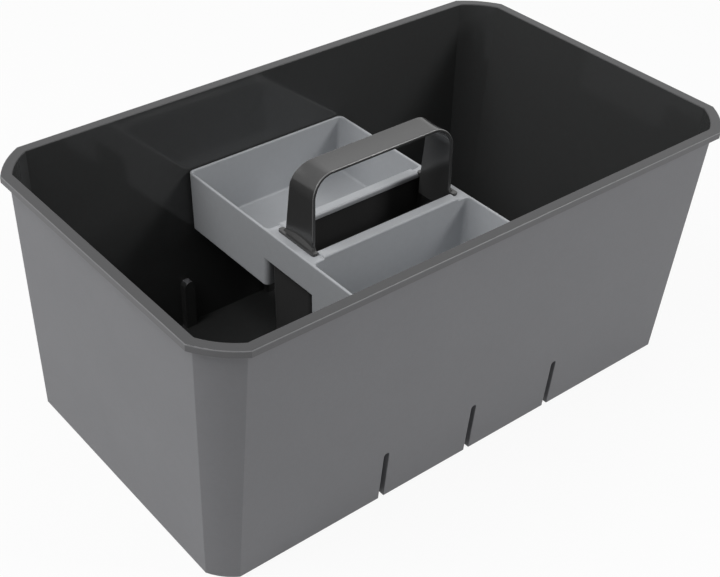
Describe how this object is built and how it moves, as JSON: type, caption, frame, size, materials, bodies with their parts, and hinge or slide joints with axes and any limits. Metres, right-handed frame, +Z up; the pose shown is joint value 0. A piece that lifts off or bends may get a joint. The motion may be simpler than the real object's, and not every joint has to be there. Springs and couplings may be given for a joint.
{
  "type": "tool storage caddy",
  "caption": "Open tapered plastic tub with a turned-over rim, holding a lift-out insert: open side compartments, a deep centre bin and a fixed arched carry handle.",
  "frame": {"origin": "centre of the tub's underside, at the level it stands on", "axes": "+X along the tub's length, +Y across it away from the viewer, +Z up"},
  "size_m": [0.5, 0.2896, 0.216],
  "materials": {
    "tub_grey": "fine matte texture outside, smooth dark inside",
    "tray_grey": "smooth satin light grey",
    "bin_black": "smooth satin black",
    "handle_black": "smooth glossy black"
  },
  "bodies": {
    "tub": {"tub": "tub_grey"},
    "insert": {"insert_tray": "tray_grey", "centre_bin": "bin_black", "carry_handle": "handle_black"}
  },
  "joints": [
    {"name": "insert_lift", "type": "slide", "parent": "tub", "child": "insert", "axis": [0, 0, 1], "range_m": [0, 0.25]}
  ]
}
